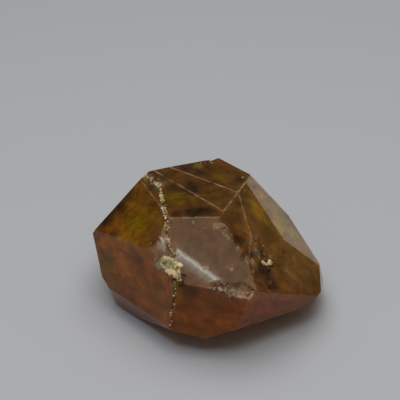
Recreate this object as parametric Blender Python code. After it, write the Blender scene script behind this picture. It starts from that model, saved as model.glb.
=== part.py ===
"""Grossular garnet crystal, about 44 mm across, as one solid in metres with +Z up.

The crystal is a block cut down along its crystal faces. A face is given by its Miller indices and its
distance from the point where the crystal began to grow. The crystal rests on the face opposite its
top face, so both of them are level.
"""
import math

import bmesh
import bpy
from mathutils import Matrix, Vector, noise

MM = 0.001

# Size and attitude
GROWTH = 16.0 * MM          # distance of the three large top faces from the growth centre
BLOCK = 90.0 * MM           # side of the block that is cut down
TOP_FACE = (1, 2, 1)        # this crystal face looks straight up
TOP_ZONE = (1, 0, -1)       # this lattice direction lies level
SPIN = -33.7                # degrees from +X to TOP_ZONE, seen from above

# Crystal faces: name, Miller indices, distance in millimetres
FRONT_FACES = (
    ("table", (2, 1, 1), 16.0),
    ("left_window", (1, 1, 2), 16.0),
    ("top", (1, 2, 1), 16.0),
    ("apron", (5, -3, 2), 15.2),
    ("left_flank", (3, -3, 5), 12.8),
    ("left_skirt", (1, -3, 2), 13.1),
    ("right_skirt", (2, -1, -1), 19.1),
)
SIDE_FACES = (
    ("right_far", (0, 1, -1), 21.3),
    ("right_tip", (1, 1, -2), 24.8),
    ("right_tip_low", (1, -1, -2), 21.9),
    ("left_far", (-1, 1, 2), 17.6),
    ("left_edge", (-1, -1, 2), 16.5),
    ("left_edge_low", (0, -1, 1), 15.3),
)
BACK_FACES = (
    ("back_high", (-1, 2, 1), 19.0),
    ("back_right", (-1, 3, -2), 19.2),
    ("back_left", (-2, 1, 1), 21.5),
    ("back_low", (-2, 1, -1), 20.0),
)
UNDER_FACES = (
    ("base", (-1, -2, -1), 8.5),
    ("under_front_right", (3, -7, -4), 13.8),
    ("under_front_left", (1, -6, 0), 12.0),
    ("under_back", (-2, -1, -1), 15.5),
    ("under_right", (-1, -1, -2), 16.5),
    ("under_left", (-1, -1, 0), 14.5),
)

# Vicinal faces lean a little from a neighbour along a growth step: name, neighbour, compass angle of
# the lean in degrees from +X, distance of the step from the neighbour's foot in mm, lean in degrees
LEANING_FACES = (
    ("top_second", "top", 44.0, 2.5, 2.5),
    ("top_third", "top_second", 56.0, 6.7, 6.5),
    ("wedge", "table", 22.4, 7.85, 37.0),
    ("right_window", "wedge", 23.0, 2.2, 10.0),
    ("right_rim", "right_window", 54.0, 6.05, 4.0),
    ("right_broken", "right_rim", -95.0, -0.1, 7.0),
    ("table_bevel", "table", -135.0, 2.65, 7.0),
)

# Vein: the healed crack that runs down from the back corner. Each station is a face, millimetres
# across and up on it, half width and depth
VEIN = (
    ("top", -8.8, 9.6, 0.55, 0.45),
    ("top", -7.2, 7.6, 0.60, 0.50),
    ("top", -5.0, 5.0, 0.50, 0.40),
    ("top", -4.4, 1.2, 0.40, 0.35),
    ("top", -4.1, -1.8, 0.50, 0.40),
    ("table", -3.5, 4.4, 0.45, 0.45),
    ("table", -3.3, 2.1, 0.45, 0.40),
    ("table", -3.0, 0.2, 0.30, 0.45),
    ("table", -2.4, -2.0, 0.40, 0.45),
    ("table", -1.6, -4.6, 0.60, 0.60),
    ("apron", 1.6, 9.0, 0.55, 0.55),
    ("apron", 1.0, 6.6, 0.40, 0.45),
    ("apron", 0.7, 3.9, 0.35, 0.35),
    ("apron", 0.3, 1.6, 0.45, 0.40),
    ("apron", 0.0, -1.2, 0.30, 0.30),
    ("apron", -0.5, -4.2, 0.25, 0.25),
)
VEIN_LIFT = 0.9             # the cutter stands this far above the faces, mm

# Crumbs of pale broken mineral left in the vein: face, across, up, sunk below the face, radius, mm
CRUMBS = (
    ("top", -8.0, 8.5, 0.62, 0.60),
    ("top", -6.8, 7.1, 0.58, 0.55),
    ("top", -5.4, 5.6, 0.52, 0.50),
    ("top", -4.6, 3.4, 0.42, 0.40),
    ("top", -4.4, 1.6, 0.40, 0.38),
    ("top", -4.2, -0.6, 0.50, 0.48),
    ("top", -3.9, -2.4, 0.45, 0.50),
    ("table", -3.6, 3.6, 0.35, 0.50),
    ("table", -3.3, 2.2, 0.30, 0.45),
    ("table", -2.8, -0.9, 0.35, 0.38),
    ("table", -4.7, -4.0, 0.85, 0.95),
    ("table", -3.4, -4.4, 0.90, 1.00),
    ("table", -2.3, -5.2, 0.95, 1.05),
    ("table", -3.1, -5.8, 1.25, 1.05),
    ("table", -1.6, -6.0, 1.20, 0.90),
    ("apron", 0.3, 9.6, 0.70, 0.80),
    ("apron", 0.8, 3.2, 0.32, 0.45),
    ("apron", 0.3, 1.0, 0.32, 0.45),
)

# Broken places, cut with boxes: name, face, across, up, depth under the face, size across, size up,
# turn about the face's normal, tilt sideways and tilt up in degrees
CHIPS = (
    ("vein_chip", "table", -3.4, -4.6, 0.60, 4.6, 2.4, -38.0, 6.0, -8.0),
    ("vein_chip_step", "table", -1.3, -6.5, 1.05, 2.2, 2.2, -24.0, -9.0, 12.0),
    ("vein_pocket", "apron", 2.2, 8.0, 0.80, 1.0, 3.0, -6.0, 16.0, 6.0),
    ("corner_chip", "top", -9.0, 9.3, 0.50, 2.6, 3.6, 28.0, 14.0, -10.0),
    ("top_notch", "top_third", 3.9, 12.4, 0.70, 1.3, 2.6, -28.0, 10.0, -14.0),
    ("hollow", "right_broken", -7.5, -7.3, 0.95, 1.2, 4.4, -70.0, 12.0, 3.0),
    ("hollow_step", "right_broken", -4.3, -6.2, 0.60, 2.8, 1.5, -44.0, -6.0, 12.0),
    ("table_ledge", "table", 9.0, -0.7, 0.10, 1.3, 8.2, 35.6, 14.0, 0.0),
    ("table_nick", "table", 6.5, 5.3, 0.15, 1.7, 1.5, 38.0, 12.0, 8.0),
)

# Shell-shaped chip at the table's lower edge: face, across, up and depth
SHELL_CHIP = ("table", 9.8, -9.8, 0.55)
SHELL_RADIUS = 6.0

WORN_EDGE = 0.12            # width of the rounding along every edge, mm

CRYSTAL_NAME = "garnet_crystal"


def clear_scene():
    for thing in list(bpy.data.objects):
        bpy.data.objects.remove(thing, do_unlink=True)


def make_collection(name):
    group = bpy.data.collections.new(name)
    bpy.context.scene.collection.children.link(group)
    return group


def make_object(name, mesh, group):
    data = bpy.data.meshes.new(name)
    mesh.to_mesh(data)
    mesh.free()
    thing = bpy.data.objects.new(name, data)
    group.objects.link(thing)
    return thing


def garnet_material():
    material = bpy.data.materials.new("garnet")
    material.use_nodes = True
    shader = material.node_tree.nodes["Principled BSDF"]
    shader.inputs["Base Color"].default_value = (0.42, 0.25, 0.05, 1.0)
    shader.inputs["Roughness"].default_value = 0.06
    shader.inputs["IOR"].default_value = 1.74
    shader.inputs["Transmission Weight"].default_value = 0.6
    material.diffuse_color = (0.30, 0.18, 0.05, 1.0)
    return material


# Crystal faces as planes
def lattice_turn():
    up = Vector(TOP_FACE).normalized()
    east = Vector(TOP_ZONE).normalized()
    north = up.cross(east)
    return Matrix.Rotation(math.radians(SPIN), 3, "Z") @ Matrix((east, north, up))


def face_planes():
    turn = lattice_turn()
    planes = {}
    for name, indices, distance in FRONT_FACES + SIDE_FACES + BACK_FACES + UNDER_FACES:
        planes[name] = ((turn @ Vector(indices)).normalized(), distance * GROWTH / 16.0)
    for name, neighbour, compass, reach, lean in LEANING_FACES:
        normal, distance = planes[neighbour]
        compass, lean = math.radians(compass), math.radians(lean)
        level = Vector((math.cos(compass), math.sin(compass), 0.0))
        level.z = -level.dot(normal) / normal.z
        step = level.normalized()
        planes[name] = (
            (normal * math.cos(lean) + step * math.sin(lean)).normalized(),
            distance * math.cos(lean) + reach * MM * math.sin(lean),
        )
    return planes


def face_axes(planes, face):
    """Directions across and up on a face, as seen from outside, and its normal."""
    normal = planes[face][0]
    upright = Vector((0.0, 0.0, 1.0)) if abs(normal.z) < 0.96 else Vector((0.0, 1.0, 0.0))
    up = (upright - normal * normal.dot(upright)).normalized()
    return up.cross(normal), up, normal


def on_face(planes, face, across, up, out=0.0):
    """Point at millimetres across and up from the foot of a face, and out from it."""
    side, rise, normal = face_axes(planes, face)
    return normal * (planes[face][1] + out * MM) + side * (across * MM) + rise * (up * MM)


# Solids
def cut_crystal(planes):
    mesh = bmesh.new()
    bmesh.ops.create_cube(mesh, size=BLOCK)
    for normal, distance in planes.values():
        everything = mesh.verts[:] + mesh.edges[:] + mesh.faces[:]
        cut = bmesh.ops.bisect_plane(
            mesh, geom=everything, plane_co=normal * distance, plane_no=normal, clear_outer=True)
        rim = [part for part in cut["geom_cut"] if isinstance(part, bmesh.types.BMEdge)]
        if rim:
            bmesh.ops.contextual_create(mesh, geom=rim)
    bmesh.ops.bevel(
        mesh, geom=mesh.edges[:], offset=WORN_EDGE * MM / 2.0, offset_type="OFFSET", segments=1,
        affect="EDGES", clamp_overlap=True)
    bmesh.ops.recalc_face_normals(mesh, faces=mesh.faces)
    return mesh


def chip_box(planes, face, across, up, depth, width, height, turn, side_tilt, up_tilt):
    """Box whose lower side lies at a depth under a face and whose body stands out of it."""
    side, rise, normal = face_axes(planes, face)
    frame = Matrix((side, rise, normal)).transposed()
    pose = frame @ Matrix.Rotation(math.radians(turn), 3, "Z")
    pose = pose @ Matrix.Rotation(math.radians(side_tilt), 3, "Y")
    pose = pose @ Matrix.Rotation(math.radians(up_tilt), 3, "X")
    stand = max(width, height)
    mesh = bmesh.new()
    bmesh.ops.create_cube(mesh, size=1.0)
    for vert in mesh.verts:
        local = Vector((vert.co.x * width, vert.co.y * height, (vert.co.z + 0.5) * stand - depth))
        vert.co = on_face(planes, face, across, up) + pose @ (local * MM)
    return mesh


def vein_cutter(planes):
    """Bar of V-shaped section that follows the vein from face to face."""
    points = [on_face(planes, face, across, up) for face, across, up, _, _ in VEIN]
    normals = [planes[station[0]][0] for station in VEIN]
    mesh = bmesh.new()
    rings = []
    for index, (_, _, _, half, depth) in enumerate(VEIN):
        before = points[max(index - 1, 0)]
        after = points[min(index + 1, len(points) - 1)]
        normal = (normals[max(index - 1, 0)] + normals[index] * 2.0
                  + normals[min(index + 1, len(points) - 1)]).normalized()
        along = (after - before).normalized()
        side = along.cross(normal).normalized()
        wide = half * (depth + VEIN_LIFT) / depth
        wobble = 0.5 * half * math.sin(2.4 * index)
        ring = [
            points[index] + (side * wide + normal * VEIN_LIFT) * MM,
            points[index] - (side * wide - normal * VEIN_LIFT) * MM,
            points[index] + (side * wobble - normal * depth) * MM,
        ]
        rings.append([mesh.verts.new(point) for point in ring])
    for low, high in zip(rings, rings[1:]):
        for corner in range(3):
            following = (corner + 1) % 3
            mesh.faces.new((low[corner], low[following], high[following], high[corner]))
    mesh.faces.new(rings[0])
    mesh.faces.new(rings[-1])
    bmesh.ops.recalc_face_normals(mesh, faces=mesh.faces)
    return mesh


def crumb(planes, index, face, across, up, sunk, radius):
    """Small angular block with its corners pushed about."""
    mesh = bmesh.new()
    bmesh.ops.create_cube(mesh, size=1.25 * radius * MM)
    spin = Matrix.Rotation(1.3 * index, 3, Vector((0.4, 0.7, 0.6)).normalized())
    centre = on_face(planes, face, across, up, -sunk)
    for vert in mesh.verts:
        seed = vert.co / (radius * MM) * 2.3 + Vector((1.7 * index, 0.0, 0.0))
        vert.co = centre + spin @ (vert.co * (1.0 + 0.5 * noise.noise(seed)))
    return mesh


def shell_cutter(planes):
    """Ball that scoops the shell-shaped chip."""
    face, across, up, depth = SHELL_CHIP
    mesh = bmesh.new()
    bmesh.ops.create_icosphere(mesh, subdivisions=3, radius=SHELL_RADIUS * MM)
    centre = on_face(planes, face, across, up, SHELL_RADIUS - depth)
    for vert in mesh.verts:
        ripple = 1.0 + 0.012 * math.sin(vert.co.x / (0.45 * MM))
        vert.co = centre + vert.co * ripple
    return mesh


def joined(name, meshes, group):
    whole = bmesh.new()
    for mesh in meshes:
        data = bpy.data.meshes.new("piece")
        mesh.to_mesh(data)
        mesh.free()
        whole.from_mesh(data)
        bpy.data.meshes.remove(data)
    return make_object(name, whole, group)


def use_tool(target, tool, operation):
    step = target.modifiers.new(tool.name, "BOOLEAN")
    step.object = tool
    step.operation = operation
    step.solver = "EXACT"
    step.use_self = True
    tool.hide_render = True
    tool.display_type = "WIRE"


def stand_on_origin(crystal, tools):
    """Moves everything so the bottom centre of the crystal's box is the origin."""
    corners = [vert.co for vert in crystal.data.vertices]
    low = [min(corner[axis] for corner in corners) for axis in range(3)]
    high = [max(corner[axis] for corner in corners) for axis in range(3)]
    shift = Vector(((low[0] + high[0]) / 2.0, (low[1] + high[1]) / 2.0, low[2]))
    for thing in [crystal] + tools:
        for vert in thing.data.vertices:
            vert.co -= shift


def build():
    clear_scene()
    parts = make_collection("grossular_garnet")
    tool_group = make_collection("cutters")
    planes = face_planes()

    crystal = make_object(CRYSTAL_NAME, cut_crystal(planes), parts)
    crystal.data.materials.append(garnet_material())

    chips = [make_object(row[0], chip_box(planes, *row[1:]), tool_group) for row in CHIPS]
    chips.append(make_object("shell_chip", shell_cutter(planes), tool_group))
    vein = make_object("vein_groove", vein_cutter(planes), tool_group)
    crumbs = joined(
        "vein_crumbs", [crumb(planes, index, *row) for index, row in enumerate(CRUMBS)], tool_group)

    stand_on_origin(crystal, chips + [vein, crumbs])
    for chip in chips + [vein]:
        use_tool(crystal, chip, "DIFFERENCE")
    use_tool(crystal, crumbs, "UNION")
    tool_group.hide_render = True


build()
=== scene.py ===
"""Looks of the grossular garnet crystal: its see-through honey body with fine relief on every face,
the pale crumbly vein, the table it rests on, the light and the camera.

Lengths are in millimetres where a name or comment says so, and in metres everywhere else.
"""
import math
import random

import bmesh
import bpy
from mathutils import Matrix, Vector, noise


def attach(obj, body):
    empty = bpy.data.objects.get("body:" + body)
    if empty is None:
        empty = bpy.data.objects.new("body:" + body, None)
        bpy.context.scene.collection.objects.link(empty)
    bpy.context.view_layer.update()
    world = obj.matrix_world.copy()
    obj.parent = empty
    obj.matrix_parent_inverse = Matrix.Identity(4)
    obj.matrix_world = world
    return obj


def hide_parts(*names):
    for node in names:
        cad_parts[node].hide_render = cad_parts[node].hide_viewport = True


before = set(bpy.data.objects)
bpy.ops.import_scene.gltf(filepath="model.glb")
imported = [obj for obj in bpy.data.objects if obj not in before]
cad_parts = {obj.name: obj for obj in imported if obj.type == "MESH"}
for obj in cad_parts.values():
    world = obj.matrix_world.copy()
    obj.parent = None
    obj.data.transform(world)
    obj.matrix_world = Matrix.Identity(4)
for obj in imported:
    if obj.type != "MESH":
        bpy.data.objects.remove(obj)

MM = 0.001
NODE = "garnet_crystal"
SEED = 7

# Size and attitude, as in the part
GROWTH = 16.0 * MM
BLOCK = 90.0 * MM
TOP_FACE = (1, 2, 1)
TOP_ZONE = (1, 0, -1)
SPIN = -33.7

# Crystal faces: name, Miller indices, distance in millimetres
CRYSTAL_FACES = (
    ("table", (2, 1, 1), 16.0),
    ("left_window", (1, 1, 2), 16.0),
    ("top", (1, 2, 1), 16.0),
    ("apron", (5, -3, 2), 15.2),
    ("left_flank", (3, -3, 5), 12.8),
    ("left_skirt", (1, -3, 2), 13.1),
    ("right_skirt", (2, -1, -1), 19.1),
    ("right_far", (0, 1, -1), 21.3),
    ("right_tip", (1, 1, -2), 24.8),
    ("right_tip_low", (1, -1, -2), 21.9),
    ("left_far", (-1, 1, 2), 17.6),
    ("left_edge", (-1, -1, 2), 16.5),
    ("left_edge_low", (0, -1, 1), 15.3),
    ("back_high", (-1, 2, 1), 19.0),
    ("back_right", (-1, 3, -2), 19.2),
    ("back_left", (-2, 1, 1), 21.5),
    ("back_low", (-2, 1, -1), 20.0),
    ("base", (-1, -2, -1), 8.5),
    ("under_front_right", (3, -7, -4), 13.8),
    ("under_front_left", (1, -6, 0), 12.0),
    ("under_back", (-2, -1, -1), 15.5),
    ("under_right", (-1, -1, -2), 16.5),
    ("under_left", (-1, -1, 0), 14.5),
)

# Vicinal faces: name, neighbour, compass angle in degrees, distance of the step in mm, lean in degrees
LEANING_FACES = (
    ("top_second", "top", 44.0, 2.5, 2.5),
    ("top_third", "top_second", 56.0, 6.7, 6.5),
    ("wedge", "table", 22.4, 7.85, 37.0),
    ("right_window", "wedge", 23.0, 2.2, 10.0),
    ("right_rim", "right_window", 54.0, 6.05, 4.0),
    ("right_broken", "right_rim", -95.0, -0.1, 7.0),
    ("table_bevel", "table", -135.0, 2.65, 7.0),
)

BEND = ("table", "table_bevel")
BEND_HALF = 2.4             # the dark face curves into its bevel over this distance each way, mm
WORN_EDGE = 0.12            # width of the rounding along every edge, mm
GRID = 0.55 * MM            # spacing of the fine mesh


def lattice_turn():
    up = Vector(TOP_FACE).normalized()
    east = Vector(TOP_ZONE).normalized()
    north = up.cross(east)
    return Matrix.Rotation(math.radians(SPIN), 3, "Z") @ Matrix((east, north, up))


def face_planes():
    turn = lattice_turn()
    planes = {}
    for name, indices, distance in CRYSTAL_FACES:
        planes[name] = ((turn @ Vector(indices)).normalized(), distance * GROWTH / 16.0)
    for name, neighbour, compass, reach, lean in LEANING_FACES:
        normal, distance = planes[neighbour]
        compass, lean = math.radians(compass), math.radians(lean)
        level = Vector((math.cos(compass), math.sin(compass), 0.0))
        level.z = -level.dot(normal) / normal.z
        step = level.normalized()
        planes[name] = (
            (normal * math.cos(lean) + step * math.sin(lean)).normalized(),
            distance * math.cos(lean) + reach * MM * math.sin(lean),
        )
    return planes


PLANES = face_planes()
FACE_NUMBER = {name: number for number, name in enumerate(PLANES, start=1)}
FACE_NAME = {number: name for name, number in FACE_NUMBER.items()}
EDGE_NUMBER = -1            # marks a worn edge; broken places have 0


def face_axes(face):
    """Directions across and up on a face, as seen from outside, and its normal."""
    normal = PLANES[face][0]
    upright = Vector((0.0, 0.0, 1.0)) if abs(normal.z) < 0.96 else Vector((0.0, 1.0, 0.0))
    up = (upright - normal * normal.dot(upright)).normalized()
    return up.cross(normal), up, normal


def on_face(face, across, up, out=0.0):
    """Point in the growth frame at millimetres across and up from the foot of a face, and out from it."""
    side, rise, normal = face_axes(face)
    return normal * (PLANES[face][1] + out * MM) + side * (across * MM) + rise * (up * MM)


def smooth_step(low, high, value):
    share = min(max((value - low) / (high - low), 0.0), 1.0)
    return share * share * (3.0 - 2.0 * share)


# Mesh helpers
def make_object(name, mesh):
    data = bpy.data.meshes.new(name)
    mesh.to_mesh(data)
    mesh.free()
    thing = bpy.data.objects.new(name, data)
    bpy.context.scene.collection.objects.link(thing)
    return thing


def cut_crystal():
    """The block cut down along its faces, its edges rounded and each face numbered."""
    mesh = bmesh.new()
    bmesh.ops.create_cube(mesh, size=BLOCK)
    for normal, distance in PLANES.values():
        everything = mesh.verts[:] + mesh.edges[:] + mesh.faces[:]
        cut = bmesh.ops.bisect_plane(
            mesh, geom=everything, plane_co=normal * distance, plane_no=normal, clear_outer=True)
        rim = [part for part in cut["geom_cut"] if isinstance(part, bmesh.types.BMEdge)]
        if rim:
            bmesh.ops.contextual_create(mesh, geom=rim)
    bmesh.ops.bevel(
        mesh, geom=mesh.edges[:], offset=WORN_EDGE * MM / 2.0, offset_type="OFFSET", segments=2,
        profile=0.5, affect="EDGES", clamp_overlap=True)
    bmesh.ops.recalc_face_normals(mesh, faces=mesh.faces)
    number = mesh.faces.layers.int.new("crystal_face")
    for face in mesh.faces:
        face[number] = EDGE_NUMBER
        for name, (normal, distance) in PLANES.items():
            if face.normal.dot(normal) > 0.99999:
                if abs(face.calc_center_median().dot(normal) - distance) < 0.002 * MM:
                    face[number] = FACE_NUMBER[name]
        if face[number] == EDGE_NUMBER:
            middle = face.calc_center_median()
            if all(abs(middle.dot(PLANES[name][0]) - PLANES[name][1]) < 0.01 * MM for name in BEND):
                flat, bevelled = PLANES[BEND[0]][0], PLANES[BEND[1]][0]
                if face.normal.dot(flat) > math.cos(flat.angle(bevelled)):
                    face[number] = FACE_NUMBER[BEND[0]]
    return mesh


def grid_cut(mesh):
    """Cuts every face into cells of about the grid's size, so that it can carry relief and colour."""
    for axis in range(3):
        values = [vert.co[axis] for vert in mesh.verts]
        low, high = min(values), max(values)
        normal = Vector([1.0 if axis == other else 0.0 for other in range(3)])
        place = low + 0.37 * GRID
        while place < high:
            everything = mesh.verts[:] + mesh.edges[:] + mesh.faces[:]
            bmesh.ops.bisect_plane(
                mesh, geom=everything, dist=0.002 * MM, plane_co=normal * place, plane_no=normal)
            place += GRID


# Vein: face, millimetres across and up on it, half width and depth, share filled with pale grains
VEIN = (
    ("top", -8.8, 9.6, 0.55, 0.45, 1.0),
    ("top", -7.2, 7.6, 0.60, 0.50, 1.0),
    ("top", -5.0, 5.0, 0.50, 0.40, 1.0),
    ("top", -4.4, 1.2, 0.40, 0.35, 1.0),
    ("top", -4.1, -1.8, 0.50, 0.40, 1.0),
    ("table", -3.5, 4.4, 0.45, 0.45, 0.9),
    ("table", -3.3, 2.1, 0.45, 0.40, 0.9),
    ("table", -3.0, 0.2, 0.30, 0.45, 0.9),
    ("table", -2.4, -2.0, 0.40, 0.45, 0.9),
    ("table", -1.6, -4.6, 0.60, 0.60, 0.9),
    ("apron", 1.6, 9.0, 0.55, 0.55, 0.1),
    ("apron", 1.0, 6.6, 0.40, 0.45, 0.1),
    ("apron", 0.7, 3.9, 0.35, 0.35, 0.1),
    ("apron", 0.3, 1.6, 0.45, 0.40, 0.1),
    ("apron", 0.0, -1.2, 0.30, 0.30, 0.1),
    ("apron", -0.5, -4.2, 0.25, 0.25, 0.1),
)
VEIN_LIFT = 0.9             # the cutter stands this far above the faces, mm
VEIN_STEP = 0.4             # spacing of the stations along the vein, mm

# Broken places: name, face, across, up, depth, size across, size up, turn, side tilt, up tilt
BREAKS = (
    ("vein_chip", "table", -3.4, -4.6, 0.60, 4.6, 2.4, -38.0, 6.0, -8.0),
    ("vein_chip_step", "table", -1.3, -6.5, 1.05, 2.2, 2.2, -24.0, -9.0, 12.0),
    ("vein_pocket", "apron", 2.2, 8.0, 0.80, 1.0, 3.0, -6.0, 16.0, 6.0),
    ("corner_chip", "top", -9.0, 9.3, 0.50, 2.6, 3.6, 28.0, 14.0, -10.0),
    ("top_notch", "top_third", 3.9, 12.4, 0.70, 1.3, 2.6, -28.0, 10.0, -14.0),
    ("hollow", "right_broken", -7.5, -7.3, 0.95, 1.2, 4.4, -70.0, 12.0, 3.0),
    ("hollow_step", "right_broken", -4.3, -6.2, 0.60, 2.8, 1.5, -44.0, -6.0, 12.0),
    ("table_ledge", "table", 9.0, -0.7, 0.10, 1.3, 8.2, 35.6, 14.0, 0.0),
    ("table_nick", "table", 6.5, 5.3, 0.15, 1.7, 1.5, 38.0, 12.0, 8.0),
)
SHELL_CHIP = ("table", 9.8, -9.8, 0.55)
SHELL_RADIUS = 6.0

# Runs of small chips: face, from across and up, to across and up, spread, count, sizes and depth in mm
CHIP_RUNS = (
    ("table", 6.6, 5.6, 12.6, -6.0, 0.45, 46, 0.25, 0.75, 0.10),
    ("table", 4.2, -8.2, 12.2, -9.2, 0.40, 44, 0.25, 0.80, 0.12),
    ("right_broken", -1.6, -0.4, -2.6, -6.8, 0.45, 26, 0.20, 0.60, 0.10),
    ("right_broken", -6.5, -3.6, -4.4, -5.4, 0.60, 18, 0.25, 0.70, 0.12),
    ("top", -9.4, 10.2, -5.0, 5.6, 0.70, 26, 0.25, 0.80, 0.15),
    ("top_third", 3.4, 12.4, -0.6, 8.0, 0.30, 22, 0.20, 0.55, 0.12),
)


LUMP_ROOM = 1.25            # lumps of one cutter stay this many radii apart
CARVE_TRIES = 6
NUDGE = 0.013               # mm that a cutter moves before the next try
MOST_TAKEN = 0.01           # share of the crystal that one cutter may take


def uneven(place):
    """Shift in three directions from noise at three spots, which is the same on every run."""
    return Vector([noise.noise(place + Vector((spot, -2.0 * spot, spot))) for spot in (9.3, 0.2, -6.4)])


def block_cutter(face, across, up, depth, width, height, turn, side_tilt, up_tilt):
    """Box over a face whose lower side cuts in to a depth, its sides uneven like broken crystal."""
    side, rise, normal = face_axes(face)
    pose = Matrix((side, rise, normal)).transposed() @ Matrix.Rotation(math.radians(turn), 3, "Z")
    pose = pose @ Matrix.Rotation(math.radians(side_tilt), 3, "Y")
    pose = pose @ Matrix.Rotation(math.radians(up_tilt), 3, "X")
    stand = max(width, height)
    mesh = bmesh.new()
    bmesh.ops.create_cube(mesh, size=1.0)
    bmesh.ops.subdivide_edges(mesh, edges=mesh.edges[:], cuts=7, use_grid_fill=True)
    for vert in mesh.verts:
        local = Vector((vert.co.x * width, vert.co.y * height, (vert.co.z + 0.5) * stand - depth))
        local += uneven(local * 1.3 + Vector((across, up, 0.0))) * 0.16
        local += uneven(local * 4.0) * 0.05
        vert.co = on_face(face, across, up) + pose @ (local * MM)
    return mesh


def vein_line():
    """Points, directions and sizes along the vein, evenly spaced, in the growth frame."""
    points = [on_face(*row[:3]) for row in VEIN]
    line = []
    for index in range(len(VEIN) - 1):
        length = (points[index + 1] - points[index]).length / MM
        steps = max(int(length / VEIN_STEP), 1)
        for step in range(steps):
            share = step / steps
            normal = PLANES[VEIN[index][0]][0].lerp(PLANES[VEIN[index + 1][0]][0], share).normalized()
            half = VEIN[index][3] * (1.0 - share) + VEIN[index + 1][3] * share
            depth = VEIN[index][4] * (1.0 - share) + VEIN[index + 1][4] * share
            line.append((points[index].lerp(points[index + 1], share), normal, half, depth, VEIN[index][5]))
    return line


def vein_cutter():
    """Bar of V-shaped section along the vein, its lips ragged."""
    line = vein_line()
    mesh = bmesh.new()
    rings = []
    for index, (point, normal, half, depth, _) in enumerate(line):
        before = line[max(index - 1, 0)][0]
        after = line[min(index + 1, len(line) - 1)][0]
        along = (after - before).normalized()
        side = along.cross(normal).normalized()
        ragged = [0.75 + 0.6 * noise.noise(Vector((0.9 * index, 5.0 * lip, 0.0))) for lip in range(3)]
        wide = half * (depth + VEIN_LIFT) / depth
        ring = [
            point + (side * wide * ragged[0] + normal * VEIN_LIFT) * MM,
            point - (side * wide * ragged[1] - normal * VEIN_LIFT) * MM,
            point + (side * half * (ragged[2] - 0.75) - normal * depth * ragged[2]) * MM,
        ]
        rings.append([mesh.verts.new(corner) for corner in ring])
    for low, high in zip(rings, rings[1:]):
        for corner in range(3):
            following = (corner + 1) % 3
            mesh.faces.new((low[corner], low[following], high[following], high[corner]))
    mesh.faces.new(rings[0])
    mesh.faces.new(rings[-1])
    bmesh.ops.recalc_face_normals(mesh, faces=mesh.faces)
    return mesh


def shell_cutter():
    """Ball that scoops the shell-shaped chip, with the ripples of a conchoidal break."""
    face, across, up, depth = SHELL_CHIP
    mesh = bmesh.new()
    bmesh.ops.create_icosphere(mesh, subdivisions=5, radius=SHELL_RADIUS * MM)
    centre = on_face(face, across, up, SHELL_RADIUS - depth)
    source = on_face(face, across - 3.4, up + 1.0)
    for vert in mesh.verts:
        reach = (centre + vert.co - source).length / MM
        ripple = 1.0 + 0.006 * math.sin(reach / 0.11) + 0.01 * noise.noise(vert.co / MM * 0.9)
        vert.co = centre + vert.co * ripple
    return mesh


def angular_lump(mesh, centre, radius, draw, pale=None):
    """Adds a small convex broken lump to a mesh: a coarse ball with its corners pushed about."""
    made = bmesh.ops.create_icosphere(mesh, subdivisions=1, radius=1.0)["verts"]
    spin = Matrix.Rotation(draw.uniform(0.0, 6.28), 3, Vector([draw.uniform(-1.0, 1.0) for _ in range(3)]))
    stretch = Vector([draw.uniform(0.55, 1.25) for _ in range(3)])
    for vert in made:
        corner = Vector([vert.co[axis] * stretch[axis] for axis in range(3)]) * draw.uniform(0.8, 1.15)
        vert.co = centre + spin @ corner * radius
        if pale:
            vert[mesh.verts.layers.float["pale"]] = pale


def chip_run_cutters(face, across, up, far_across, far_up, spread, count, small, large, depth):
    """Cutters for a run of small chips, each a mesh of lumps that stay clear of each other."""
    draw = random.Random(SEED + count + int(100.0 * spread))
    layers = []
    for _ in range(count):
        share = draw.random()
        radius = draw.uniform(small, large)
        place = on_face(
            face, across + (far_across - across) * share + draw.gauss(0.0, spread),
            up + (far_up - up) * share + draw.gauss(0.0, spread),
            radius * 0.55 - depth * draw.uniform(0.6, 1.4))
        for layer in layers:
            if all((place - other).length > LUMP_ROOM * (radius + size) * MM for other, size in layer):
                layer.append((place, radius))
                break
        else:
            layers.append([(place, radius)])
    cutters = []
    for layer in layers:
        mesh = bmesh.new()
        for place, radius in layer:
            angular_lump(mesh, place, radius * MM, draw)
        cutters.append(mesh)
    return cutters


def carved(thing, cutter, name):
    """Cuts a closed cutter out of the thing, and leaves it uncut where the result isn't sound."""
    before = bmesh.new()
    before.from_mesh(thing.data)
    volume = before.calc_volume()
    before.free()
    bmesh.ops.triangulate(cutter, faces=cutter.faces[:])
    tool = make_object(name, cutter)
    step = thing.modifiers.new(name, "BOOLEAN")
    step.object = tool
    step.operation = "DIFFERENCE"
    step.solver = "EXACT"
    for attempt in range(CARVE_TRIES):
        tool.location = Vector((0.7, 0.3, 0.5)) * (attempt * NUDGE * MM)
        bpy.context.view_layer.update()
        graph = bpy.context.evaluated_depsgraph_get()
        mesh = bmesh.new()
        mesh.from_mesh(bpy.data.meshes.new_from_object(thing.evaluated_get(graph)))
        bmesh.ops.remove_doubles(mesh, verts=mesh.verts, dist=0.002 * MM)
        bmesh.ops.dissolve_degenerate(mesh, dist=0.001 * MM, edges=mesh.edges)
        taken = volume - mesh.calc_volume()
        closed = all(edge.is_contiguous for edge in mesh.edges)
        sound = closed and all(vert.is_manifold for vert in mesh.verts)
        if sound and 0.0 < taken < MOST_TAKEN * volume:
            mesh.to_mesh(thing.data)
            mesh.free()
            break
        mesh.free()
    else:
        print("left uncut:", name)
    thing.modifiers.clear()
    bpy.data.objects.remove(tool, do_unlink=True)


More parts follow.
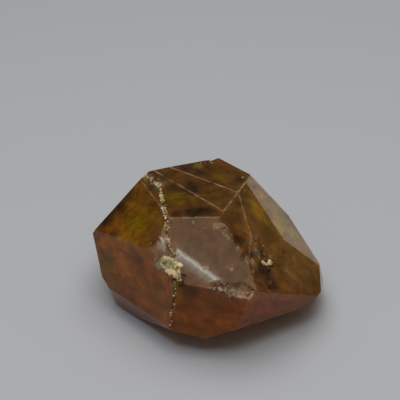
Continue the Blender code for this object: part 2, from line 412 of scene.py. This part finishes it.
# Relief: face, height of broad swells, height of fine ones, height of grooves, direction of the grooves
# in degrees from across, spacing of the grooves, in mm
RELIEF = {
    "table": (0.010, 0.0030, 0.004, 62.0, 0.9),
    "table_bevel": (0.010, 0.0030, 0.004, 62.0, 0.9),
    "top": (0.012, 0.0025, 0.004, -28.0, 0.8),
    "top_second": (0.012, 0.0025, 0.006, -28.0, 0.7),
    "top_third": (0.014, 0.0030, 0.006, -28.0, 0.9),
    "wedge": (0.020, 0.0060, 0.020, 70.0, 0.6),
    "right_window": (0.020, 0.0040, 0.008, 60.0, 0.9),
    "right_rim": (0.020, 0.0050, 0.010, 60.0, 0.8),
    "right_broken": (0.040, 0.0080, 0.035, 90.0, 0.7),
}
PLAIN_RELIEF = (0.020, 0.0040, 0.006, 20.0, 1.1)
RELIEF_FADE = 0.7           # relief dies away over this distance to a face's edge, mm


def edge_room(point, own):
    """Distance in mm from a point on a face to the nearest other face's plane."""
    return min(distance - normal.dot(point)
               for name, (normal, distance) in PLANES.items() if name != own) / MM


def relief_height(face, point):
    swell, fine, groove, direction, spacing = RELIEF.get(face, PLAIN_RELIEF)
    side, rise, _ = face_axes(face)
    across, up = side.dot(point) / MM, rise.dot(point) / MM
    turned = across * math.sin(math.radians(direction)) - up * math.cos(math.radians(direction))
    along = across * math.cos(math.radians(direction)) + up * math.sin(math.radians(direction))
    place = Vector((across, up, 3.0 * FACE_NUMBER[face]))
    height = swell * noise.noise(place * 0.22) + fine * noise.noise(place * 0.9)
    height += groove * noise.noise(Vector((turned / spacing, along * 0.12, 1.7 * FACE_NUMBER[face])))
    return height * smooth_step(0.0, RELIEF_FADE, edge_room(point, face))


def bend_drop(point):
    """How far the surface lies below the two bent faces' planes, in mm."""
    (normal, distance), (other_normal, other_distance) = PLANES[BEND[0]], PLANES[BEND[1]]
    lean = normal.angle(other_normal)
    away = max(distance - normal.dot(point), other_distance - other_normal.dot(point)) / MM / math.sin(lean)
    return lean / (4.0 * BEND_HALF) * max(BEND_HALF - away, 0.0) ** 2


def shaped(mesh):
    """Moves the mesh's inner points by each face's relief, in the growth frame."""
    number = mesh.faces.layers.int["crystal_face"]
    bent = {FACE_NUMBER[name] for name in BEND}
    for vert in mesh.verts:
        if {face[number] for face in vert.link_faces} <= bent:
            vert.co -= PLANES[BEND[0]][0] * (bend_drop(vert.co) * MM)
        faces = {face[number] for face in vert.link_faces}
        if len(faces) == 1:
            name = FACE_NAME.get(faces.pop())
            if name:
                vert.co += PLANES[name][0] * (relief_height(name, vert.co) * MM)


# Edges that are worn pale, by the two faces that meet there, and how much
WORN_EDGES = {
    ("top", "top_second"): 0.75,
    ("top_second", "top_third"): 0.80,
    ("top_second", "wedge"): 0.60,
    ("top_third", "wedge"): 0.60,
    ("top_third", "right_window"): 0.80,
    ("wedge", "right_window"): 0.65,
    ("left_window", "top"): 0.45,
    ("table", "top"): 0.65,
    ("table", "wedge"): 0.60,
    ("table", "top_second"): 0.60,
    ("right_window", "right_broken"): 0.12,
    ("wedge", "right_broken"): 0.45,
}
PLAIN_WEAR = 0.10
STRIP = 0.21                # width of the worn strip on each side of such an edge, mm
BROKEN_HAZE = 0.20          # mean haze of broken places


def edge_wear(centre):
    """How worn the edge near a point is, from the two faces that are nearest to it."""
    near = sorted((distance - normal.dot(centre), name) for name, (normal, distance) in PLANES.items())
    pair = (near[0][1], near[1][1])
    wear = WORN_EDGES.get(pair, WORN_EDGES.get(pair[::-1], PLAIN_WEAR))
    return wear * (0.75 + 0.5 * noise.noise(centre / MM * 0.8))


def cut_worn_strips(mesh):
    """Cuts a narrow strip on each side of every worn edge, so that it can be paler."""
    number = mesh.faces.layers.int["crystal_face"]
    for pair in WORN_EDGES:
        for own, other in (pair, pair[::-1]):
            normal, distance = PLANES[other]
            inset = STRIP * MM * math.sin(normal.angle(PLANES[own][0]))
            faces = [face for face in mesh.faces if face[number] == FACE_NUMBER[own]]
            edges = list(dict.fromkeys(edge for face in faces for edge in face.edges))
            verts = list(dict.fromkeys(vert for face in faces for vert in face.verts))
            bmesh.ops.bisect_plane(
                mesh, geom=verts + edges + faces, dist=0.0005 * MM,
                plane_co=normal * (distance - inset), plane_no=normal)


# Rubbed and splintered places: face, across, up, radius in mm, haze
HAZE_PATCHES = (
    ("table", 6.4, -8.5, 0.8, 0.70),
    ("table", 7.9, -9.0, 1.2, 0.75),
    ("table", 9.6, -9.4, 1.3, 0.75),
    ("table", 11.2, -9.8, 1.1, 0.75),
    ("left_flank", 4.1, 9.3, 1.1, 0.50),
    ("top", -7.6, 7.7, 1.1, 0.45),
    ("top", -5.0, 5.2, 0.9, 0.35),
    ("table", 1.4, 3.9, 0.4, 0.40),
    ("table", 3.4, 2.8, 0.3, 0.40),
    ("table", 3.7, -4.4, 0.4, 0.35),
    ("table", 8.0, -4.9, 0.5, 0.35),
    ("table", 5.6, 3.1, 0.6, 0.45),
    ("table", 6.6, 3.3, 0.5, 0.50),
    ("table", 7.7, 1.0, 0.5, 0.50),
    ("table", 9.4, -1.0, 0.5, 0.45),
    ("table", 11.0, -2.9, 0.6, 0.50),
    ("table", 12.3, -5.4, 0.6, 0.50),
    ("right_broken", -4.2, -2.5, 1.0, 0.40),
    ("right_broken", -7.4, -2.7, 0.9, 0.45),
    ("top", -2.6, 6.2, 0.35, 0.60),
)


def patch_haze(centre):
    """Haze at a place near the surface, from the rubbed places around it."""
    haze = 0.0
    for face, across, up, radius, amount in HAZE_PATCHES:
        away = (centre - on_face(face, across, up)).length / MM / radius
        haze = max(haze, amount * math.exp(-away ** 4) * (0.9 + 1.3 * noise.noise(centre / MM * 1.9)))
    return max(haze, 0.0)


def strip_wear(face, centre):
    """How worn a place on a crystal face is, from the worn edges beside it."""
    wear = 0.0
    for pair, amount in WORN_EDGES.items():
        if face in pair:
            normal, distance = PLANES[pair[1] if pair[0] == face else pair[0]]
            away = (distance - normal.dot(centre)) / MM / math.sin(normal.angle(PLANES[face][0]))
            if away < STRIP:
                wear = max(wear, amount * (0.55 + 0.9 * noise.noise(centre / MM * 1.1)))
    return wear


def finish_surface(thing):
    """Sets the haze of each face and keeps the lines between crystal faces sharp."""
    mesh = bmesh.new()
    mesh.from_mesh(thing.data)
    number = mesh.faces.layers.int["crystal_face"]
    haze = mesh.faces.layers.float.new("haze")
    for face in mesh.faces:
        face.smooth = True
        if face[number] == EDGE_NUMBER:
            face[haze] = edge_wear(face.calc_center_median())
        elif face[number] == 0:
            rough = noise.noise(face.calc_center_median() / MM * 0.9)
            face[haze] = BROKEN_HAZE * max(1.0 + 2.6 * rough, 0.1)
        else:
            face[haze] = strip_wear(FACE_NAME[face[number]], face.calc_center_median())
        face[haze] = max(face[haze], patch_haze(face.calc_center_median()))
    for edge in mesh.edges:
        numbers = {face[number] for face in edge.link_faces}
        names = {FACE_NAME.get(value) for value in numbers}
        broken = numbers == {0} and edge.calc_face_angle(0.0) > math.radians(25.0)
        edge.smooth = len(numbers) == 1 and not broken or names == set(BEND)
    mesh.to_mesh(thing.data)
    mesh.free()


def crystal_piece():
    crystal = make_object("crystal_body", cut_crystal())
    corners = [vert.co for vert in crystal.data.vertices]
    low = [min(corner[axis] for corner in corners) for axis in range(3)]
    high = [max(corner[axis] for corner in corners) for axis in range(3)]
    shift = Vector(((low[0] + high[0]) / 2.0, (low[1] + high[1]) / 2.0, low[2]))

    for row in BREAKS:
        carved(crystal, block_cutter(*row[1:]), row[0])
    carved(crystal, shell_cutter(), "shell_chip")
    carved(crystal, vein_cutter(), "vein_groove")
    for number, row in enumerate(CHIP_RUNS):
        for layer, cutter in enumerate(chip_run_cutters(*row)):
            carved(crystal, cutter, f"chips_{number}_{layer}")
    mesh = bmesh.new()
    mesh.from_mesh(crystal.data)
    cut_worn_strips(mesh)
    grid_cut(mesh)
    shaped(mesh)
    mesh.to_mesh(crystal.data)
    mesh.free()
    finish_surface(crystal)
    paint_tone_and_light(crystal)
    for vert in crystal.data.vertices:
        vert.co -= shift
    return crystal, shift


# Pale crumbs in broken places, and bright pale lumps that stand as painted glints: face, across, up, spread,
# count, sizes, depth in mm, paleness
CRUMB_AND_GLINT_PATCHES = (
    ("table", -3.6, -3.7, 0.50, 34, 0.35, 0.80, 0.20, 0.72),
    ("table", -2.6, -4.1, 0.45, 34, 0.50, 1.05, 0.20, 1.00),
    ("table", -1.7, -4.8, 0.42, 40, 0.45, 1.00, 0.20, 1.35),
    ("left_flank", 4.5, 9.0, 0.60, 34, 0.25, 0.60, 0.10, 0.60),
    ("left_flank", 5.8, 7.4, 0.55, 16, 0.07, 0.16, 0.05, 1.00),
    ("table", 7.2, -9.0, 0.60, 16, 0.07, 0.16, 0.10, 0.80),
    # these five rows are painted glints: bright lumps where faces would catch highlights
    ("right_broken", -5.2, -5.2, 0.16, 12, 0.24, 0.46, 0.15, 1.20),
    ("right_broken", -3.7, -6.2, 0.20, 14, 0.24, 0.50, 0.15, 1.20),
    ("top_third", 9.4, 6.0, 0.05, 4, 0.18, 0.28, 0.12, 1.20),
    ("right_window", 6.4, 2.7, 0.05, 3, 0.12, 0.20, 0.10, 1.00),
    ("left_window", 4.6, -0.6, 0.05, 3, 0.12, 0.20, 0.10, 1.10),
    ("top", -7.4, 7.7, 0.80, 50, 0.08, 0.22, 0.25, 0.75),
    ("top_third", 3.9, 11.6, 0.50, 30, 0.08, 0.20, 0.40, 0.80),
)
VEIN_PALE = 0.95
CRUMBS_A_STATION = 9
CRUMB_SIZES = (0.09, 0.29)
CRUMB_STAND = 0.15          # crumbs rise at most this far above the level top face, mm
CRUMB_HELD = 0.35           # a crumb's centre stays this many radii inside every face
CRUMB_SUNK = 0.32           # and starts this many radii below the face of its patch
CRUMB_PUSHES = 3            # rounds of pushing a crumb in from the faces


def crumb_piece(shift):
    """Grains of pale mineral that fill the vein and lie in the broken places, and bright lumps painted as
    glints.
    """
    draw = random.Random(SEED)
    mesh = bmesh.new()
    mesh.verts.layers.float.new("pale")

    def add_crumb(centre, radius, pale):
        for _ in range(CRUMB_PUSHES):
            for normal, distance in PLANES.values():
                room = distance - normal.dot(centre) - CRUMB_HELD * radius * MM
                centre = centre + normal * min(room, 0.0)
        angular_lump(mesh, centre - shift, radius * MM, draw, pale * draw.uniform(0.75, 1.1))

    for index, (point, normal, half, depth, filled) in enumerate(vein_line()):
        full = filled * smooth_step(-0.45, 0.25, noise.noise(Vector((0.31 * index, 2.0, 0.0))))
        for _ in range(round(CRUMBS_A_STATION * full)):
            radius = draw.uniform(*CRUMB_SIZES)
            aside = Vector([draw.uniform(-1.0, 1.0) for _ in range(3)]) * half * 0.9
            aside -= normal * aside.dot(normal)
            centre = point + (aside - normal * (depth * draw.uniform(-0.1, 0.6))) * MM
            add_crumb(centre, radius, VEIN_PALE)
    for face, across, up, spread, count, small, large, depth, pale in CRUMB_AND_GLINT_PATCHES:
        for _ in range(count):
            radius = draw.triangular(small, large, small)
            centre = on_face(
                face, across + draw.gauss(0.0, spread), up + draw.gauss(0.0, spread),
                -CRUMB_SUNK * radius - depth * draw.random())
            add_crumb(centre, radius, pale)
    highest = PLANES["top"][1] + CRUMB_STAND * MM - shift.z
    for vert in mesh.verts:
        vert.co.z = min(vert.co.z, highest)
    return make_object("vein_mineral_and_glints", mesh)


# Colour near each face, red, green and blue: the crystal's own honey and olive tones, with each face set
# lighter or darker as painted light and shade for how light passes through it and reflects from it
PLAIN_TONE_AND_LIGHT = (0.55, 0.27, 0.07)
FACE_TONE_AND_LIGHT = {
    "left_window": (0.70, 0.29, 0.01),
    "right_window": (0.82, 0.43, 0.05),
    "right_rim": (0.52, 0.36, 0.10),
    "top": (0.40, 0.21, 0.04),
    "top_second": (0.42, 0.20, 0.04),
    "top_third": (0.52, 0.18, 0.02),
    "table": (0.26, 0.09, 0.04),
    "table_bevel": (0.50, 0.29, 0.19),
    "wedge": (0.58, 0.29, 0.09),
    "right_broken": (0.54, 0.23, 0.06),
    "apron": (0.68, 0.18, 0.02),
    "right_skirt": (0.68, 0.14, 0.02),
    "left_flank": (0.84, 0.26, 0.02),
    "left_skirt": (0.30, 0.08, 0.01),
}
# Painted light and shade within the crystal, mixed with its own lighter and darker zones: face, across, up,
# radius in mm, colour
TONE_AND_LIGHT_PATCHES = (
    ("left_window", -1.4, 0.0, 3.2, (0.72, 0.42, 0.00)),
    # these four are a painted internal reflection: a bright arc along the left window's foot
    ("left_window", -1.9, -5.0, 0.8, (0.85, 0.52, 0.03)),
    ("left_window", 0.4, -4.0, 0.8, (0.95, 0.60, 0.03)),
    ("left_window", 2.0, -2.9, 0.8, (0.95, 0.56, 0.03)),
    ("left_window", 3.8, -1.6, 0.7, (0.85, 0.46, 0.03)),
    # painted shade: the left window darkens towards its far rim
    ("left_window", -8.2, -5.0, 2.2, (0.15, 0.06, 0.02)),
    ("left_window", -8.6, -1.6, 2.0, (0.13, 0.05, 0.02)),
    ("left_window", -9.2, 1.6, 1.5, (0.16, 0.07, 0.02)),
    ("left_window", -3.8, -5.6, 1.6, (0.34, 0.16, 0.03)),
    ("left_flank", -9.4, 1.8, 2.0, (0.44, 0.25, 0.04)),
    ("left_flank", -1.2, 7.6, 2.4, (0.30, 0.11, 0.04)),
    ("left_flank", 5.0, 1.6, 2.8, (0.78, 0.31, 0.05)),
    ("top", -1.6, 0.9, 1.9, (0.50, 0.35, 0.01)),
    ("top", -1.5, -3.4, 0.9, (0.16, 0.09, 0.03)),
    ("top", 0.5, -3.3, 1.3, (0.08, 0.05, 0.02)),
    ("top", 2.4, -3.2, 1.4, (0.08, 0.05, 0.02)),
    ("top", 4.2, -3.0, 1.2, (0.14, 0.08, 0.03)),
    ("top", -5.6, 5.4, 1.7, (0.42, 0.34, 0.14)),
    ("top_second", 0.8, 3.6, 1.9, (0.14, 0.09, 0.03)),
    ("top_second", 4.5, 0.9, 1.4, (0.46, 0.24, 0.01)),
    ("top_third", -1.7, 8.6, 1.5, (0.14, 0.04, 0.04)),
    ("top_third", 0.9, 9.6, 0.9, (0.80, 0.62, 0.14)),
    ("top_third", 5.2, 6.2, 2.2, (0.50, 0.28, 0.00)),
    ("top_third", 1.6, 7.4, 1.0, (0.14, 0.07, 0.01)),
    ("top_third", 8.6, 5.2, 0.9, (0.10, 0.06, 0.01)),
    ("wedge", -4.2, -2.4, 1.7, (0.14, 0.08, 0.03)),
    ("wedge", -4.8, -5.6, 1.2, (0.14, 0.07, 0.03)),
    ("right_window", 3.8, -1.4, 2.3, (0.96, 0.52, 0.03)),
    ("right_window", -0.6, -5.2, 2.0, (0.34, 0.17, 0.02)),
    ("right_window", 3.9, -6.2, 1.3, (0.80, 0.62, 0.03)),
    ("right_rim", 5.4, -7.2, 1.5, (0.58, 0.50, 0.05)),
    ("right_rim", 4.2, -9.8, 1.3, (0.52, 0.46, 0.06)),
    ("right_broken", 1.3, -15.8, 1.7, (0.52, 0.32, 0.07)),
    # painted shade in the hollow of the broken face
    ("right_broken", -7.0, -5.4, 1.4, (0.14, 0.07, 0.04)),
    ("right_broken", -7.3, -6.9, 1.9, (0.22, 0.09, 0.04)),
    ("right_broken", -8.2, -8.4, 1.4, (0.16, 0.08, 0.04)),
    ("right_broken", -3.4, -3.6, 0.9, (0.10, 0.06, 0.03)),
    ("apron", 1.0, 7.2, 0.9, (0.56, 0.40, 0.05)),
    ("apron", 0.9, 5.2, 0.8, (0.50, 0.36, 0.05)),
    ("apron", 0.6, 3.0, 0.7, (0.44, 0.32, 0.06)),
    ("apron", 2.6, 7.6, 0.8, (0.05, 0.03, 0.02)),
    ("apron", 3.8, 6.4, 1.6, (0.22, 0.09, 0.03)),
    ("apron", 7.2, 3.4, 1.8, (0.40, 0.18, 0.03)),
    ("apron", 4.8, -0.6, 2.0, (0.72, 0.22, 0.03)),
)
TONE_AND_LIGHT_BLEND = 0.9            # colours of neighbouring faces mix over this distance, mm


def tone_and_light_colour(point):
    """Colour at a point near the surface, the crystal's own tone with painted light and shade, blended from
    the faces around it.
    """
    total, colour = 0.0, Vector((0.0, 0.0, 0.0))
    for name, (normal, distance) in PLANES.items():
        share = math.exp(-(distance - normal.dot(point)) / (TONE_AND_LIGHT_BLEND * MM))
        total += share
        colour += Vector(FACE_TONE_AND_LIGHT.get(name, PLAIN_TONE_AND_LIGHT)) * share
    colour /= total
    for face, across, up, radius, patch in TONE_AND_LIGHT_PATCHES:
        away = (point - on_face(face, across, up)).length / MM / radius
        away *= 1.0 + 0.7 * noise.noise(point / MM * 0.7)
        colour = colour.lerp(Vector(patch), 0.9 * math.exp(-away ** 3))
    return colour


def paint_tone_and_light(thing):
    # puts the crystal's own tone and its painted light and shade on every point
    layer = thing.data.color_attributes.new("tone_and_light", "FLOAT_COLOR", "POINT")
    for vert, entry in zip(thing.data.vertices, layer.data):
        entry.color = (*tone_and_light_colour(vert.co), 1.0)


# Materials: colours, and each value at a clear and at a hazy place
GARNET_IOR = 1.74
CLEAR_TRANSMISSION = 0.65
HAZY_TRANSMISSION = 0.15
CLEAR_ROUGHNESS = 0.09
HAZY_ROUGHNESS = 0.55
HAZE_COLOUR = (0.62, 0.50, 0.34, 1.0)
REFLECTION_TINT = (0.55, 0.43, 0.29, 1.0)
ABSORPTION_COLOUR = (0.80, 0.62, 0.10, 1.0)
ABSORPTION_DENSITY = 75.0
CLOUD_SCALE = 330.0
CLOUD_SHADES = (0.45, 1.50)     # the colour is multiplied by values between these
CRUMB_DARK = (0.36, 0.26, 0.09, 1.0)
CRUMB_LIGHT = (0.95, 0.80, 0.48, 1.0)
CRUMB_GRAIN_SCALE = 900.0
CRUMB_ROUGHNESS = 0.80
FLOOR_COLOUR = (0.79, 0.785, 0.78, 1.0)
FLOOR_ROUGHNESS = 0.9


def garnet_material():
    material = bpy.data.materials.new("garnet")
    material.use_nodes = True
    nodes, links = material.node_tree.nodes, material.node_tree.links
    shader = nodes["Principled BSDF"]
    haze = nodes.new("ShaderNodeAttribute")
    haze.attribute_name = "haze"
    tint = nodes.new("ShaderNodeMix")
    tint.data_type = "RGBA"
    # the points' colour, which holds painted light and shade as well as the crystal's own tone
    tone_and_light = nodes.new("ShaderNodeAttribute")
    tone_and_light.attribute_name = "tone_and_light"
    place = nodes.new("ShaderNodeTexCoord")
    cloudy = nodes.new("ShaderNodeTexNoise")
    cloudy.inputs["Scale"].default_value = CLOUD_SCALE
    cloudy.inputs["Detail"].default_value = 5.0
    cloudy.inputs["Roughness"].default_value = 0.65
    cloudy.inputs["Distortion"].default_value = 0.6
    links.new(place.outputs["Object"], cloudy.inputs["Vector"])
    depth = nodes.new("ShaderNodeMapRange")
    depth.inputs["From Min"].default_value = 0.32
    depth.inputs["From Max"].default_value = 0.68
    depth.inputs["To Min"].default_value = CLOUD_SHADES[0]
    depth.inputs["To Max"].default_value = CLOUD_SHADES[1]
    links.new(cloudy.outputs["Fac"], depth.inputs["Value"])
    clouded = nodes.new("ShaderNodeVectorMath")
    clouded.operation = "SCALE"
    links.new(tone_and_light.outputs["Color"], clouded.inputs[0])
    links.new(depth.outputs["Result"], clouded.inputs["Scale"])
    links.new(clouded.outputs["Vector"], tint.inputs["A"])
    tint.inputs["B"].default_value = HAZE_COLOUR
    links.new(haze.outputs["Fac"], tint.inputs["Factor"])
    links.new(tint.outputs["Result"], shader.inputs["Base Color"])
    clear = nodes.new("ShaderNodeMapRange")
    clear.inputs["To Min"].default_value = CLEAR_TRANSMISSION
    clear.inputs["To Max"].default_value = HAZY_TRANSMISSION
    links.new(haze.outputs["Fac"], clear.inputs["Value"])
    links.new(clear.outputs["Result"], shader.inputs["Transmission Weight"])
    dull = nodes.new("ShaderNodeMapRange")
    dull.inputs["To Min"].default_value = CLEAR_ROUGHNESS
    dull.inputs["To Max"].default_value = HAZY_ROUGHNESS
    links.new(haze.outputs["Fac"], dull.inputs["Value"])
    links.new(dull.outputs["Result"], shader.inputs["Roughness"])
    shader.inputs["IOR"].default_value = GARNET_IOR
    shader.inputs["Specular Tint"].default_value = REFLECTION_TINT
    volume = nodes.new("ShaderNodeVolumeAbsorption")
    volume.inputs["Color"].default_value = ABSORPTION_COLOUR
    volume.inputs["Density"].default_value = ABSORPTION_DENSITY
    links.new(volume.outputs["Volume"], nodes["Material Output"].inputs["Volume"])
    return material


def crumb_material():
    material = bpy.data.materials.new("pale_mineral_and_glints")
    material.use_nodes = True
    nodes, links = material.node_tree.nodes, material.node_tree.links
    shader = nodes["Principled BSDF"]
    place = nodes.new("ShaderNodeTexCoord")
    grain = nodes.new("ShaderNodeTexNoise")
    grain.inputs["Scale"].default_value = CRUMB_GRAIN_SCALE
    grain.inputs["Detail"].default_value = 3.0
    links.new(place.outputs["Object"], grain.inputs["Vector"])
    shades = nodes.new("ShaderNodeValToRGB")
    shades.color_ramp.elements[0].position = 0.32
    shades.color_ramp.elements[0].color = CRUMB_DARK
    shades.color_ramp.elements[1].position = 0.55
    shades.color_ramp.elements[1].color = CRUMB_LIGHT
    links.new(grain.outputs["Fac"], shades.inputs["Fac"])
    # paleness above one brightens the lumps that stand as painted glints
    pale = nodes.new("ShaderNodeAttribute")
    pale.attribute_name = "pale"
    paled = nodes.new("ShaderNodeVectorMath")
    paled.operation = "SCALE"
    links.new(shades.outputs["Color"], paled.inputs[0])
    links.new(pale.outputs["Fac"], paled.inputs["Scale"])
    links.new(paled.outputs["Vector"], shader.inputs["Base Color"])
    shader.inputs["Roughness"].default_value = CRUMB_ROUGHNESS
    return material


def table_material():
    material = bpy.data.materials.new("pale_table")
    material.use_nodes = True
    shader = material.node_tree.nodes["Principled BSDF"]
    shader.inputs["Base Color"].default_value = FLOOR_COLOUR
    shader.inputs["Roughness"].default_value = FLOOR_ROUGHNESS
    return material


# Stage, light and camera
CAMERA_PLACE = (-1.4, -171.59, 157.4)          # mm
CAMERA_RIGHT = (0.9993, -0.0226, -0.0288)
CAMERA_UP = (0.0366, 0.6171, 0.786)
CAMERA_LENS = 105.0
FLOOR_SIZE = 6.0
FLOOR_DROP = 0.3            # the floor lies this far below the crystal, mm
STUDIO_STRENGTH = 0.13
VIEW_GAMMA = 0.85


def add_floor():
    mesh = bmesh.new()
    bmesh.ops.create_grid(mesh, x_segments=1, y_segments=1, size=FLOOR_SIZE / 2.0)
    floor = make_object("floor", mesh)
    floor.location.z = -FLOOR_DROP * MM
    floor.data.materials.append(table_material())


def add_area(name, place, size, radiance, target=(0.0, 0.0, 0.012), turn=None, colour=(1.0, 1.0, 1.0)):
    light = bpy.data.lights.new(name, "AREA")
    light.shape = "RECTANGLE"
    light.size, light.size_y = size
    light.energy = radiance * math.pi * size[0] * size[1]
    light.color = colour
    lamp = bpy.data.objects.new(name, light)
    lamp.location = place
    if turn is None:
        lamp.rotation_euler = (Vector(target) - Vector(place)).to_track_quat("-Z", "Y").to_euler()
    else:
        lamp.rotation_euler = (0.0, 0.0, math.radians(turn))
    bpy.context.scene.collection.objects.link(lamp)


def add_lights():
    world = bpy.data.worlds.new("studio")
    world.use_nodes = True
    back = world.node_tree.nodes["Background"]
    back.inputs["Color"].default_value = (1.0, 1.0, 1.0, 1.0)
    back.inputs["Strength"].default_value = STUDIO_STRENGTH
    bpy.context.scene.world = world
    add_area("overhead", (0.0, -0.04, 0.50), (0.44, 0.54), 1.82, target=(0.0, -0.04, 0.0))
    add_area("streak", (-0.045, -0.211, 0.48), (0.155, 0.022), 12.0, turn=-38.0, colour=(0.50, 0.72, 1.0))
    add_area("soft_streak", (-0.055, -0.223, 0.479), (0.155, 0.06), 3.8, turn=-38.0, colour=(0.50, 0.72, 1.0))
    add_area("right_back", (0.60, 0.57, 0.05), (0.4, 0.12), 1.35)


def add_camera():
    camera = bpy.data.cameras.new("camera")
    camera.lens = CAMERA_LENS
    camera.sensor_width = 36.0
    camera.clip_start = 0.01
    camera.clip_end = 20.0
    viewer = bpy.data.objects.new("camera", camera)
    right, up = Vector(CAMERA_RIGHT).normalized(), Vector(CAMERA_UP).normalized()
    pose = Matrix((right, up, right.cross(up))).transposed().to_4x4()
    pose.translation = Vector(CAMERA_PLACE) * MM
    viewer.matrix_world = pose
    bpy.context.scene.collection.objects.link(viewer)
    bpy.context.scene.camera = viewer


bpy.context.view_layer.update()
body, SHIFT = crystal_piece()
body.data.materials.append(garnet_material())
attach(body, "root")
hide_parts(NODE)

crumbs = crumb_piece(SHIFT)
crumbs.data.materials.append(crumb_material())
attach(crumbs, "root")

add_floor()
add_lights()
add_camera()
bpy.context.scene.view_settings.view_transform = "Standard"
bpy.context.scene.view_settings.gamma = VIEW_GAMMA
